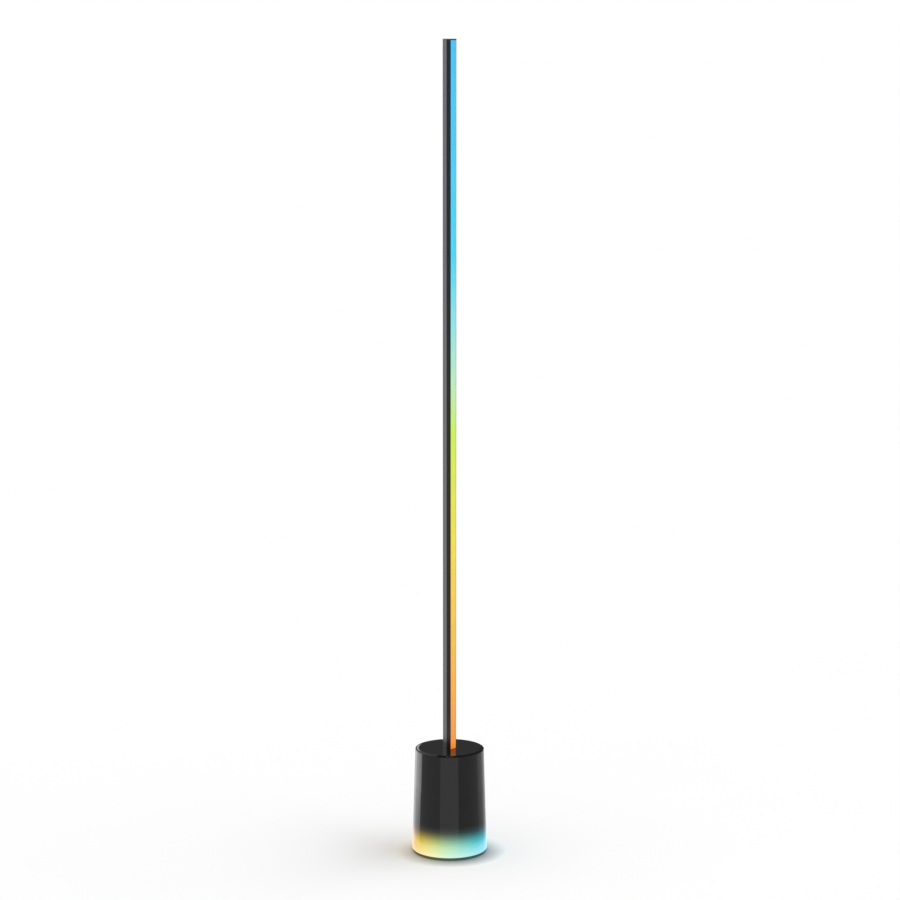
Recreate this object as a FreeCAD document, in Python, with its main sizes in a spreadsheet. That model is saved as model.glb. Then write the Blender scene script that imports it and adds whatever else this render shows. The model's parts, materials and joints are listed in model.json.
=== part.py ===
"""Corner floor lamp: a slim light bar that stands in a tapered cylinder base.

Millimetres, +Z up. The origin is the centre of the foot ring's underside, on the floor.
The base's front looks along -Y, and the bar is turned about the vertical towards +X.
"""
import FreeCAD, Part
import math
import os

import Sketcher

# ---------------------------------------------------------------- driving dimensions

DRIVING = {
    # the whole lamp
    "lamp_height": 1450.0,
    # clearances shared by many pieces
    "slip_gap": 0.1,        # between pieces that are pushed together
    "loose_gap": 0.3,       # between pieces that only pass each other
    "run_gap": 0.08,        # round a piece that slides
    "wall_bite": 0.5,       # of a boss or post into the wall that carries it
    # foot ring and tray
    "foot_thickness": 3.0,
    "foot_inset": 1.0,      # of the foot ring, from the tray's edge
    "foot_width": 9.0,
    "foot_key_depth": 1.0,  # of the ring's tongue in the tray
    "foot_key_inset": 2.0,
    "foot_round": 0.8,
    "tray_edge": 2.0,
    "tray_inset": 1.5,      # of the tray's edge, from the shell's foot
    "tray_floor": 2.5,
    "tray_step": 2.0,       # raised ring under the light ring's board
    "tray_lip": 2.0,
    "tray_lip_rise": 4.0,
    # shell
    "shell_top_radius": 61.75,
    "shell_taper": 5.5,
    "shell_height": 184.0,
    "shell_wall": 2.5,
    "rim_land": 0.8,
    "rim_round": 0.6,
    "shell_flange": 2.0,
    # lid
    "lid_gap": 1.1,
    "lid_rise": 1.5,        # of the lid's top above the shell's
    "lid_thickness": 3.4,
    "lid_bevel": 3.4,
    "lid_bevel_drop": 1.6,
    "lid_ledge": 7.75,
    "lid_skirt": 7.8,
    "lid_skirt_wall": 1.6,
    "lid_collar": 1.6,
    "lid_collar_depth": 6.0,
    "hook_reach": 1.2,
    "hook_room": 0.8,       # between a hook and the frame's wall
    "hook_height": 1.5,
    "hook_width": 8.0,
    "hook_count": 4,
    # inner frame
    "frame_wall": 2.0,
    "frame_flange": 2.0,
    "baffle_rise": 57.0,    # top of the light baffle above the shell's foot
    "baffle_thickness": 2.0,
    "boss_radius": 4.5,
    "boss_height": 16.0,
    "post_radius": 3.5,
    "post_height": 30.0,
    "rear_boss_radius": 3.0,
    "window_width": 6.4,    # of the light ring's wires' window
    "window_height": 5.2,
    # light ring
    "liner_wall": 2.0,
    "ring_board_thickness": 1.6,
    "ring_led_size": 3.5,
    "ring_led_height": 1.4,
    "ring_led_count": 24,
    # counterweight
    "weight_thickness": 28.5,
    "weight_gap": 1.2,
    "weight_chamfer": 1.5,
    "weight_screw_circle": 32.0,
    # bar
    "bar_set_back": 2.1,    # from the lamp's vertical, along the bar's own depth
    "bar_turn": 46.0,
    "bar_width": 14.8,
    "bar_depth": 22.4,
    "bar_flank": 9.4,
    "bar_taper": 13.0,
    "bar_back_round": 2.5,
    "bar_wall": 1.3,
    "bar_web": 1.3,
    "web_margin": 1.6,      # from the web's back to the start of the taper
    "lip_wall": 0.85,
    "lip_depth": 1.0,
    "diffuser_wall": 1.4,
    "diffuser_round": 0.5,
    "diffuser_leg": 1.0,
    "diffuser_leg_length": 3.0,
    "diffuser_tail": 4.0,   # below the lid's top
    "strip_thickness": 0.3,
    "strip_side_gap": 1.1,
    "strip_top_gap": 1.0,
    "strip_tail": 14.0,     # below the diffuser's end
    "chip_size": 5.0,
    "chip_height": 1.6,
    "chip_pitch": 16.7,
    "cap_thickness": 2.5,
    "cap_lug": 12.0,
    "cap_chamfer": 0.4,
    "tenon_above_socket": 38.0,
    "tenon_screw_rise": 8.0,  # above the socket
    "tenon_screw_bite": 6.0,
    "tenon_screw_radius": 1.5,
    "tenon_screw_pitch": 22.0,
    # socket and draw bolt
    "socket_flange_radius": 28.0,
    "socket_flange": 6.0,
    "socket_wall": 4.0,
    "socket_depth": 52.0,
    "socket_rib": 3.5,
    "socket_rib_height": 34.0,
    "socket_rib_inset": 2.0,
    "socket_screw_circle": 23.5,
    "socket_screw_radius": 2.0,
    "socket_screw_bite": 10.0,
    "bolt_radius": 3.0,
    "bolt_head_radius": 5.0,
    "bolt_head": 6.0,
    "bolt_sink": 7.0,       # of the head's seat above the weight's underside
    "bolt_grip": 16.0,      # into the tenon
    # circuit boards
    "board_thickness": 1.6,
    "board_drop": 49.0,     # of the control board, below the shell's top
    "board_cut_reach": 8.4,  # from the rear board to the control board's straight edge
    "board_gap": 1.0,
    "bar_notch_margin": 3.0,
    "rear_board_width": 40.0,
    "rear_board_margin": 16.0,  # above the button and below the inlet
    "rear_hole_inset": 4.0,
    "rear_screw_bite": 4.0,
    "rear_board_inset": 7.2,  # behind the frame's inner wall
    "header_width": 9.0,
    "header_depth": 6.0,
    "header_height": 6.0,
    "header_reach": 8.8,    # in front of the bar
    "processor_size": 14.0,
    "radio_width": 18.0,
    "radio_depth": 9.0,
    "driver_width": 9.0,
    "driver_depth": 8.0,
    "chip_block_height": 3.0,
    "capacitor_radius": 5.0,
    "capacitor_height": 12.0,
    "capacitor_chamfer": 0.6,
    # inlet
    "jack_rise": 80.0,
    "jack_bore": 5.7,
    "jack_bore_depth": 9.5,
    "jack_pin_inset": 1.0,
    "jack_inset": 0.6,      # of the nose, behind the shell's outside
    "jack_pin": 2.0,
    "jack_nose": 8.0,
    "jack_block_width": 11.0,
    "jack_block_height": 12.0,
    "jack_block_depth": 6.0,
    # button
    "button_rise": 26.0,    # above the inlet
    "button_radius": 5.0,
    "button_proud": 1.4,
    "button_round": 0.6,
    "button_flange": 1.5,
    "button_flange_margin": 1.5,
    "button_stem": 3.0,
    "button_travel": 1.0,
    "switch_size": 8.0,
    "switch_height": 5.0,
    "plunger_radius": 1.75,
    "plunger_sink": 2.5,
    # screws and wires
    "screw_radius": 1.5,
    "head_ratio": 1.8,      # a screw head's radius to its shank's
    "head_height_ratio": 1.2,
    "head_chamfer": 0.3,
    "drive_ratio": 0.8,     # a screw's hex socket's radius to its shank's
    "drive_depth_ratio": 0.7,
    "screw_bite": 9.0,
    "wire_radius": 0.65,
    "wire_pitch": 1.6,
    "wire_bend": 5.0,
    "wire_straight": 2.0,
    "wire_solder": 4.0,
    "wire_inset": 3.0,
    "wire_drop": 18.0,
    "glow_wire_rise": 12.0,  # of the wires' level run, above the weight
}

# ---------------------------------------------------------------- sheet and sizes

doc = FreeCAD.newDocument("CornerFloorLamp")
sheet = doc.addObject("Spreadsheet::Sheet", "Sizes")
for row, (alias, number) in enumerate(DRIVING.items(), start=1):
    sheet.set(f"A{row}", alias)
    sheet.set(f"B{row}", str(number))
    sheet.setAlias(f"B{row}", alias)
doc.recompute()


class Size:
    """A length or an angle, both as a number and as an expression on the sheet."""

    def __init__(self, number, text):
        self.number = number
        self.text = text

    def __add__(self, other):
        other = size(other)
        return Size(self.number + other.number, f"({self.text} + {other.text})")

    def __radd__(self, other):
        return size(other) + self

    def __sub__(self, other):
        other = size(other)
        return Size(self.number - other.number, f"({self.text} - {other.text})")

    def __rsub__(self, other):
        return size(other) - self

    def __mul__(self, other):
        other = size(other)
        return Size(self.number * other.number, f"({self.text} * {other.text})")

    def __rmul__(self, other):
        return size(other) * self

    def __truediv__(self, other):
        other = size(other)
        return Size(self.number / other.number, f"({self.text} / {other.text})")

    def __rtruediv__(self, other):
        return size(other) / self

    def __neg__(self):
        return Size(-self.number, f"(0 - {self.text})")


def size(value):
    """A plain number as a size, or a size as it is."""
    if isinstance(value, Size):
        return value
    return Size(float(value), repr(float(value)))


def sine(angle):
    return Size(math.sin(math.radians(angle.number)), f"sin({angle.text})")


def cosine(angle):
    return Size(math.cos(math.radians(angle.number)), f"cos({angle.text})")


def tangent(angle):
    return Size(math.tan(math.radians(angle.number)), f"tan({angle.text})")


def root(value):
    return Size(math.sqrt(value.number), f"sqrt({value.text})")


def whole(value):
    return Size(float(math.floor(value.number)), f"floor({value.text})")


class Sheet:
    """The sheet's cells as sizes, read by name."""

    def __getattr__(self, alias):
        return Size(float(sheet.get(alias)), f"Sizes.{alias}")


s = Sheet()


def bind(thing, path, value):
    """Tie a property to its expression on the sheet."""
    thing.setExpression(path, size(value).text)


# ---------------------------------------------------------------- sketches and features

VERTICAL = FreeCAD.Vector(0, 0, 1)
UPRIGHT = FreeCAD.Vector(0, 1, 0)
bodies = []
cuts = []


def corner_arc(before, corner, after, radius):
    """The arc that rounds a corner, and which of its ends (1 or 2) meets the line that comes in."""
    inward = (before - corner).normalize()
    outward = (after - corner).normalize()
    half = inward.getAngle(outward) / 2
    reach = radius / math.tan(half)
    centre = corner + (inward + outward).normalize() * (radius / math.sin(half))
    first = corner + inward * reach - centre
    last = corner + outward * reach - centre
    turns_left = inward.cross(outward).z < 0
    start, end = (first, last) if turns_left else (last, first)
    circle = Part.Circle(centre, VERTICAL, radius)
    begin = math.atan2(start.y, start.x)
    finish = math.atan2(end.y, end.x)
    if finish < begin:
        finish += 2 * math.pi
    return Part.ArcOfCircle(circle, begin, finish), (1 if turns_left else 2)


def place(sketch, geometry, end, x, y):
    """Fix one point of a sketch at sizes from the sketch's own origin."""
    for kind, value in (("DistanceX", size(x)), ("DistanceY", size(y))):
        index = sketch.addConstraint(Sketcher.Constraint(kind, -1, 1, geometry, end, value.number))
        sketch.setExpression(f"Constraints[{index}]", value.text)


def chain(sketch, corners, closed):
    """Lines from corner to corner. A corner (x, y, radius) is rounded, and (x, y) is sharp."""
    spots = [FreeCAD.Vector(size(c[0]).number, size(c[1]).number, 0) for c in corners]
    count = len(corners)
    arcs = {}
    for i, corner in enumerate(corners):
        if len(corner) == 3:
            arcs[i] = corner_arc(spots[i - 1], spots[i], spots[(i + 1) % count], size(corner[2]).number)
    lines = []
    for i in range(count if closed else count - 1):
        start = spots[i]
        end = spots[(i + 1) % count]
        if i in arcs:
            arc, meets = arcs[i]
            start = arc.EndPoint if meets == 1 else arc.StartPoint
        if (i + 1) % count in arcs:
            arc, meets = arcs[(i + 1) % count]
            end = arc.StartPoint if meets == 1 else arc.EndPoint
        lines.append(sketch.addGeometry(Part.LineSegment(start, end), False))
    for i, corner in enumerate(corners):
        coming = lines[i - 1] if closed or i > 0 else None
        going = lines[i] if i < len(lines) else None
        if i in arcs:
            arc, meets = arcs[i]
            bend = sketch.addGeometry(arc, False)
            sketch.addConstraint(Sketcher.Constraint("Tangent", coming, 2, bend, meets))
            sketch.addConstraint(Sketcher.Constraint("Tangent", bend, 3 - meets, going, 1))
            index = sketch.addConstraint(Sketcher.Constraint("Radius", bend, size(corner[2]).number))
            sketch.setExpression(f"Constraints[{index}]", size(corner[2]).text)
            mark = sketch.addGeometry(Part.Point(spots[i]), True)
            sketch.addConstraint(Sketcher.Constraint("PointOnObject", mark, 1, coming))
            sketch.addConstraint(Sketcher.Constraint("PointOnObject", mark, 1, going))
            place(sketch, mark, 1, corner[0], corner[1])
            continue
        if coming is not None and going is not None:
            sketch.addConstraint(Sketcher.Constraint("Coincident", coming, 2, going, 1))
        if going is not None:
            place(sketch, going, 1, corner[0], corner[1])
        else:
            place(sketch, coming, 2, corner[0], corner[1])


def outline(sketch, corners):
    chain(sketch, corners, True)


def rectangle(sketch, x, y, width, height):
    """A rectangle about its centre."""
    left = x - width / 2
    right = x + width / 2
    low = y - height / 2
    high = y + height / 2
    outline(sketch, [(left, low), (right, low), (right, high), (left, high)])


def circle(sketch, x, y, radius):
    spot = FreeCAD.Vector(size(x).number, size(y).number, 0)
    ring = sketch.addGeometry(Part.Circle(spot, VERTICAL, size(radius).number), False)
    place(sketch, ring, 3, x, y)
    index = sketch.addConstraint(Sketcher.Constraint("Radius", ring, size(radius).number))
    sketch.setExpression(f"Constraints[{index}]", size(radius).text)


class Piece:
    """One sub-part: a body whose label names its file, with its sketches and features."""

    def __init__(self, name, x=0, y=0, turn=0):
        self.body = doc.addObject("PartDesign::Body", name)
        self.body.Label = name
        turned = FreeCAD.Rotation(VERTICAL, size(turn).number)
        self.body.Placement = FreeCAD.Placement(FreeCAD.Vector(size(x).number, size(y).number, 0), turned)
        for path, value in (("Base.x", x), ("Base.y", y), ("Rotation.Angle", turn)):
            if isinstance(value, Size):
                bind(self.body, f"Placement.{path}", value)
        bodies.append(self.body)

    def role(self, name):
        return next(f for f in self.body.Origin.OriginFeatures if f.Role == name)

    def sketch(self, plane="XY_Plane", height=0, x=0, y=0, turn=0, swing=0):
        """A sketch on an origin plane: turned in that plane, or swung about the lamp's vertical."""
        sketch = self.body.newObject("Sketcher::SketchObject", f"{self.body.Name}_sketch")
        sketch.AttachmentSupport = [(self.role(plane), "")]
        sketch.MapMode = "FlatFace"
        axis = VERTICAL
        angle = turn
        if isinstance(swing, Size):
            axis = UPRIGHT
            angle = swing
            x = height * sine(swing)
            height = height * cosine(swing)
        spot = FreeCAD.Vector(size(x).number, size(y).number, size(height).number)
        sketch.AttachmentOffset = FreeCAD.Placement(spot, FreeCAD.Rotation(axis, size(angle).number))
        for path, value in (("Base.x", x), ("Base.y", y), ("Base.z", height), ("Rotation.Angle", angle)):
            if isinstance(value, Size):
                bind(sketch, f"AttachmentOffset.{path}", value)
        return sketch

    def feature(self, kind, **settings):
        feature = self.body.newObject(f"PartDesign::{kind}", f"{self.body.Name}_{kind.lower()}")
        for name, value in settings.items():
            if isinstance(value, Size):
                bind(feature, name, value)
            else:
                setattr(feature, name, value)
        self.body.Tip = feature
        return feature

    def pad(self, sketch, length, **settings):
        return self.feature("Pad", Profile=sketch, Length=size(length), **settings)

    def pocket(self, sketch, length, **settings):
        """A cut that goes down from its sketch, or up with Reversed=True."""
        before = self.body.Tip
        feature = self.feature("Pocket", Profile=sketch, Length=size(length), **settings)
        cuts.append((before, feature))
        return feature

    def revolve(self, sketch):
        return self.feature("Revolution", Profile=sketch, ReferenceAxis=(sketch, ["V_Axis"]), Angle=360)

    def groove(self, sketch):
        before = self.body.Tip
        feature = self.feature("Groove", Profile=sketch, ReferenceAxis=(sketch, ["V_Axis"]), Angle=360)
        cuts.append((before, feature))
        return feature

    def ring(self, original, count):
        """Copies evenly round the body's vertical."""
        about = (self.role("Z_Axis"), [""])
        return self.feature("PolarPattern", Originals=[original], Axis=about, Angle=360, Occurrences=size(count))

    def row(self, original, role, pitch, count, back=False):
        """Copies in a row along one of the body's axes, or back against it."""
        direction = (self.role(role), [""])
        return self.feature("LinearPattern", Originals=[original], Direction=direction, Reversed=back,
                            Mode="Spacing", Offset=size(pitch), Occurrences=size(count))

    def edges(self, test):
        doc.recompute()
        shape = self.body.Tip.Shape
        names = [f"Edge{i}" for i, edge in enumerate(shape.Edges, start=1) if test(edge)]
        if not names:
            raise ValueError(f"{self.body.Label}: no edge to round or bevel")
        return self.body.Tip, names

    def fillet(self, radius, test):
        return self.feature("Fillet", Base=self.edges(test), Radius=size(radius))

    def chamfer(self, width, test):
        return self.feature("Chamfer", Base=self.edges(test), Size=size(width))


def level_edge(z):
    """Picks the edges that lie at one height."""
    height = size(z).number
    return lambda edge: all(abs(v.Z - height) < 1e-4 for v in edge.Vertexes)


def back_edge(y):
    """Picks the edges that lie at one distance behind the piece's middle."""
    depth = size(y).number
    return lambda edge: all(abs(v.Y - depth) < 1e-4 for v in edge.Vertexes)


def round_edge(z, radius):
    """Picks the circle of one radius at one height."""
    height = size(z).number
    wanted = size(radius).number

    def test(edge):
        if not isinstance(edge.Curve, Part.Circle):
            return False
        return abs(edge.Curve.Center.z - height) < 1e-4 and abs(edge.Curve.Radius - wanted) < 1e-4

    return test


# ---------------------------------------------------------------- heights and radii that pieces share

TRAY_BOTTOM = s.foot_thickness
TRAY_FLOOR = TRAY_BOTTOM + s.tray_floor
SHELL_FOOT = TRAY_BOTTOM + s.tray_edge
SHELL_TOP = SHELL_FOOT + s.shell_height
SHELL_FOOT_RADIUS = s.shell_top_radius + s.shell_taper


def shell_radius(z):
    """The shell's outer radius at a height."""
    return SHELL_FOOT_RADIUS - s.shell_taper * (z - SHELL_FOOT) / s.shell_height


def shell_bore(z):
    """The shell's inner radius at a height."""
    return shell_radius(z) - s.shell_wall


LID_TOP = SHELL_TOP + s.lid_rise
LID_SEAT = LID_TOP - s.lid_thickness
FLANGE_SEAT = LID_SEAT - s.shell_flange
RIM_RADIUS = s.shell_top_radius - s.rim_round - s.rim_land
LID_RADIUS = RIM_RADIUS - s.lid_gap
LEDGE_RADIUS = LID_RADIUS - s.lid_ledge
SKIRT_RADIUS = LEDGE_RADIUS - s.loose_gap
FRAME_BORE = SKIRT_RADIUS + s.hook_reach + s.hook_room
FRAME_RADIUS = FRAME_BORE + s.frame_wall
FRAME_FLANGE_BOTTOM = FLANGE_SEAT - s.frame_flange
BAFFLE_TOP = SHELL_FOOT + s.baffle_rise
BAFFLE_BOTTOM = BAFFLE_TOP - s.baffle_thickness
TRAY_LIP_TOP = SHELL_FOOT + s.tray_lip_rise
TRAY_LIP_RADIUS = shell_bore(TRAY_LIP_TOP) - s.slip_gap
TRAY_LIP_BORE = TRAY_LIP_RADIUS - s.tray_lip
RING_BOARD_SEAT = TRAY_FLOOR + s.tray_step
RING_BOARD_TOP = RING_BOARD_SEAT + s.ring_board_thickness
RING_BOARD_BORE = FRAME_RADIUS + s.loose_gap
RING_BOARD_RADIUS = TRAY_LIP_BORE - s.loose_gap

WEIGHT_TOP = TRAY_FLOOR + s.weight_thickness
WEIGHT_RADIUS = FRAME_BORE - s.weight_gap
BOSS_CIRCLE = FRAME_BORE - s.boss_radius + s.wall_bite
SOCKET_FLOOR = WEIGHT_TOP + s.socket_flange
SOCKET_TOP = SOCKET_FLOOR + s.socket_depth
BAR_TOP = s.lamp_height - s.cap_thickness
DIFFUSER_FOOT = LID_TOP - s.diffuser_tail
STRIP_FOOT = DIFFUSER_FOOT - s.strip_tail
BOARD_BOTTOM = SHELL_TOP - s.board_drop
BOARD_TOP = BOARD_BOTTOM + s.board_thickness
BOARD_RADIUS = FRAME_BORE - s.board_gap
POST_CIRCLE = FRAME_BORE - s.post_radius + s.wall_bite

REAR_BOARD_BACK = FRAME_BORE - s.rear_board_inset
REAR_BOARD_FRONT = REAR_BOARD_BACK - s.board_thickness
JACK_HEIGHT = SHELL_FOOT + s.jack_rise
BUTTON_HEIGHT = JACK_HEIGHT + s.button_rise
REAR_BOARD_MIDDLE = (JACK_HEIGHT + BUTTON_HEIGHT) / 2
REAR_BOARD_HALF = s.button_rise / 2 + s.rear_board_margin
BOARD_CUT = REAR_BOARD_FRONT - s.board_cut_reach
JACK_MOUTH = shell_radius(JACK_HEIGHT) - s.jack_inset
SWITCH_FACE = REAR_BOARD_BACK + s.switch_height
STEM_END = SWITCH_FACE + s.button_travel + s.loose_gap
BUTTON_FLANGE_RADIUS = s.button_radius + s.button_flange_margin
BUTTON_BORE = shell_bore(BUTTON_HEIGHT + BUTTON_FLANGE_RADIUS)
BUTTON_FLANGE_FACE = root(BUTTON_BORE * BUTTON_BORE - BUTTON_FLANGE_RADIUS * BUTTON_FLANGE_RADIUS) - s.loose_gap
BUTTON_FLANGE_BACK = BUTTON_FLANGE_FACE - s.button_flange
BUTTON_FACE = shell_radius(BUTTON_HEIGHT) + s.button_proud

GLOW_WIRE_ANGLE = (whole(s.ring_led_count / 2) + 0.5) * 360 / s.ring_led_count
GLOW_WIRE_RUN = WEIGHT_TOP + s.glow_wire_rise
TRAY_EDGE_RADIUS = SHELL_FOOT_RADIUS - s.tray_inset
TRAY_SCREW_SEAT = TRAY_BOTTOM + s.screw_radius * s.head_height_ratio
BOLT_SEAT = TRAY_FLOOR + s.bolt_sink
TENON_SCREW_HEIGHT = SOCKET_TOP + s.tenon_screw_rise

# the bar's own frame: its front looks along -y, and its middle is the frame's origin
BAR = {"x": -s.bar_set_back * sine(s.bar_turn), "y": s.bar_set_back * cosine(s.bar_turn), "turn": s.bar_turn}
BAR_FRONT = -s.bar_depth / 2
BAR_BACK = s.bar_depth / 2
BAR_BEND = BAR_FRONT + s.bar_flank
WEB_BACK = BAR_BEND - s.web_margin
WEB_FRONT = WEB_BACK - s.bar_web
CHANNEL_HALF = s.bar_width / 2 - s.bar_wall
DIFFUSER_FRONT = BAR_FRONT + s.lip_depth - s.diffuser_wall
STRIP_FRONT = WEB_FRONT - s.strip_thickness
CHIP_FRONT = STRIP_FRONT - s.chip_height
BOLT_Y = (WEB_BACK + BAR_BACK - s.bar_wall) / 2
HEADER_Y = BAR_FRONT - s.header_reach
TENON_BACK = BAR_BACK - s.bar_wall - s.slip_gap


def bar_side(grow):
    """Half width, bend and back corner of the bar's outline, grown outwards by a distance."""
    half = s.bar_width / 2 + grow
    bend = BAR_BEND + grow * tangent(s.bar_taper / 2)
    back = BAR_BACK + grow
    lean = s.bar_width / 2 * cosine(s.bar_taper) + BAR_BEND * sine(s.bar_taper)
    back_half = (lean + grow - back * sine(s.bar_taper)) / cosine(s.bar_taper)
    return half, bend, back_half, back


def bar_outline(grow, front):
    """The bar's outer section with a straight front, grown outwards by a distance."""
    half, bend, back_half, back = bar_side(grow)
    radius = s.bar_back_round + grow
    return [(-half, front), (half, front), (half, bend),
            (back_half, back, radius), (-back_half, back, radius), (-half, bend)]


def chamber_outline(gap):
    """The closed chamber behind the web, less a gap all round."""
    return bar_outline(-s.bar_wall - gap, WEB_BACK + gap)


# ---------------------------------------------------------------- what the pieces share

def on_circle(radius, count, first):
    """Spots evenly round the lamp's vertical, from a first angle."""
    angles = [first + 360.0 / count * i for i in range(count)]
    return [(radius * cosine(size(a)), radius * sine(size(a))) for a in angles]


def circles(sketch, spots, radius):
    for x, y in spots:
        circle(sketch, x, y, radius)


def hexagon(sketch, x, y, radius):
    outline(sketch, [(x + radius * cosine(size(a)), y + radius * sine(size(a))) for a in range(0, 360, 60)])


def make_screws(piece, plane, seat, spots, radius, bite, flip=False):
    """Screws with hex sockets: heads on the seat along the plane's normal, shanks the other way."""
    rise = radius * s.head_height_ratio
    top = seat - rise if flip else seat + rise
    heads = piece.sketch(plane, height=seat)
    circles(heads, spots, radius * s.head_ratio)
    piece.pad(heads, rise, Reversed=flip)
    piece.chamfer(s.head_chamfer, level_edge(top) if plane == "XY_Plane" else back_edge(-top))
    drives = piece.sketch(plane, height=top)
    for x, y in spots:
        hexagon(drives, x, y, radius * s.drive_ratio)
    piece.pocket(drives, radius * s.drive_depth_ratio, Reversed=flip)
    shanks = piece.sketch(plane, height=seat)
    circles(shanks, spots, radius)
    piece.pad(shanks, bite, Reversed=not flip)


def make_holes(piece, plane, height, spots, radius, depth, along_normal=False, **turned):
    """Round holes from one plane, against its normal or along it."""
    sketch = piece.sketch(plane, height=height, **turned)
    circles(sketch, spots, radius)
    return piece.pocket(sketch, depth, Reversed=along_normal)


def rear_board_spots():
    """The four screws of the rear board, near its corners."""
    reach_x = s.rear_board_width / 2 - s.rear_hole_inset
    reach_z = REAR_BOARD_HALF - s.rear_hole_inset
    return [(x, REAR_BOARD_MIDDLE + z) for x in (-reach_x, reach_x) for z in (-reach_z, reach_z)]


POST_SPOTS = [(POST_CIRCLE * cosine(size(a)), POST_CIRCLE * sine(size(a))) for a in (25, 165, 235, 305)]
BOSS_SPOTS = on_circle(BOSS_CIRCLE, 4, 45)
WEIGHT_SPOTS = on_circle(s.weight_screw_circle, 3, 30)
SOCKET_SPOTS = on_circle(s.socket_screw_circle, 4, 45)
TENON_SPOTS = [(0, TENON_SCREW_HEIGHT), (0, TENON_SCREW_HEIGHT + s.tenon_screw_pitch)]
TAP_RADIUS = s.screw_radius + s.slip_gap / 2


# ---------------------------------------------------------------- the bar

def make_bar_housing():
    """One extrusion: the light channel in front of the web, with a rebated lip, and the chamber behind it."""
    piece = Piece("bar_housing", **BAR)
    half, bend, back_half, back = bar_side(size(0))
    lip = s.bar_width / 2 - s.lip_wall
    ledge = BAR_FRONT + s.lip_depth
    right = [(lip, BAR_FRONT), (half, BAR_FRONT), (half, bend), (back_half, back, s.bar_back_round)]
    left = [(-c[0], *c[1:]) for c in reversed(right)]
    mouth = [(-lip, ledge), (-CHANNEL_HALF, ledge), (-CHANNEL_HALF, WEB_FRONT),
             (CHANNEL_HALF, WEB_FRONT), (CHANNEL_HALF, ledge), (lip, ledge)]
    section = piece.sketch(height=SOCKET_FLOOR)
    outline(section, right + left + mouth)
    outline(section, chamber_outline(size(0)))
    piece.pad(section, BAR_TOP - SOCKET_FLOOR)
    make_holes(piece, "XZ_Plane", -BAR_BACK - s.loose_gap, TENON_SPOTS, s.tenon_screw_radius + s.slip_gap,
               s.bar_wall + 2 * s.loose_gap, along_normal=True)


def make_bar_diffuser():
    """A milky cover: a plate on the lip's rebate with two legs down the channel's walls."""
    piece = Piece("bar_diffuser", **BAR)
    plate = s.bar_width / 2 - s.lip_wall - s.slip_gap / 2
    seat = BAR_FRONT + s.lip_depth
    leg = CHANNEL_HALF - s.slip_gap / 2
    inner = leg - s.diffuser_leg
    tip = seat + s.diffuser_leg_length
    right = [(plate, DIFFUSER_FRONT, s.diffuser_round), (plate, seat), (leg, seat), (leg, tip),
             (inner, tip), (inner, seat)]
    left = [(-c[0], *c[1:]) for c in reversed(right)]
    section = piece.sketch(height=DIFFUSER_FOOT)
    outline(section, right + left)
    piece.pad(section, BAR_TOP - DIFFUSER_FOOT)


def make_led_strip():
    piece = Piece("led_strip", **BAR)
    section = piece.sketch(height=STRIP_FOOT)
    width = 2 * (CHANNEL_HALF - s.strip_side_gap)
    rectangle(section, size(0), (WEB_FRONT + STRIP_FRONT) / 2, width, s.strip_thickness)
    piece.pad(section, BAR_TOP - s.strip_top_gap - STRIP_FOOT)


def make_bar_leds():
    """Square chips along the strip, evenly spaced from just above the lid to the cap."""
    piece = Piece("bar_leds", **BAR)
    length = BAR_TOP - s.strip_top_gap - DIFFUSER_FOOT
    first = DIFFUSER_FOOT + s.chip_pitch / 2
    section = piece.sketch(height=first)
    rectangle(section, size(0), (STRIP_FRONT + CHIP_FRONT) / 2, s.chip_size, s.chip_height)
    chip = piece.pad(section, s.chip_size)
    piece.row(chip, "Z_Axis", s.chip_pitch, whole(length / s.chip_pitch))


def make_bar_cap():
    """The end cap: a plate over the housing and the diffuser, and a lug in the chamber."""
    piece = Piece("bar_cap", **BAR)
    plate = piece.sketch(height=BAR_TOP)
    outline(plate, bar_outline(size(0), DIFFUSER_FRONT))
    piece.pad(plate, s.cap_thickness)
    lug = piece.sketch(height=BAR_TOP)
    outline(lug, chamber_outline(s.slip_gap))
    piece.pad(lug, s.cap_lug, Reversed=True)
    piece.chamfer(s.cap_chamfer, level_edge(s.lamp_height))
    piece.chamfer(s.cap_chamfer, level_edge(BAR_TOP - s.cap_lug))


def make_bar_tenon():
    """A solid insert in the chamber's foot, tapped from below for the draw bolt."""
    piece = Piece("bar_tenon", **BAR)
    section = piece.sketch(height=SOCKET_FLOOR)
    outline(section, chamber_outline(s.slip_gap))
    piece.pad(section, s.socket_depth + s.tenon_above_socket)
    make_holes(piece, "XY_Plane", SOCKET_FLOOR, [(0, BOLT_Y)], s.bolt_radius + s.slip_gap / 2,
               s.bolt_grip + s.loose_gap, along_normal=True)
    make_holes(piece, "XZ_Plane", -TENON_BACK, TENON_SPOTS, s.tenon_screw_radius + s.slip_gap / 2,
               s.tenon_screw_bite + s.loose_gap, along_normal=True)


def make_tenon_screws():
    """Two screws through the housing's back wall into the tenon, above the socket."""
    piece = Piece("tenon_screws", **BAR)
    make_screws(piece, "XZ_Plane", -BAR_BACK, TENON_SPOTS, s.tenon_screw_radius,
                BAR_BACK - TENON_BACK + s.tenon_screw_bite, flip=True)


def make_bar_wires():
    """Three wires from the strip's foot, out of the channel and down into the header."""
    piece = Piece("bar_wires", **BAR)
    near = STRIP_FRONT - s.wire_radius
    run = BOARD_TOP + s.header_height + s.wire_bend + s.wire_straight
    start = STRIP_FOOT + s.wire_solder
    path = piece.sketch("YZ_Plane", height=-s.wire_pitch)
    chain(path, [(near, start), (near, run, s.wire_bend), (HEADER_Y, run, s.wire_bend),
                 (HEADER_Y, BOARD_TOP + s.header_height)], False)
    section = piece.sketch(height=start)
    circle(section, -s.wire_pitch, near, s.wire_radius)
    wire = piece.feature("AdditivePipe", Profile=section, Spine=path)
    piece.row(wire, "X_Axis", s.wire_pitch, 3)


# ---------------------------------------------------------------- the base's outside

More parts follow.
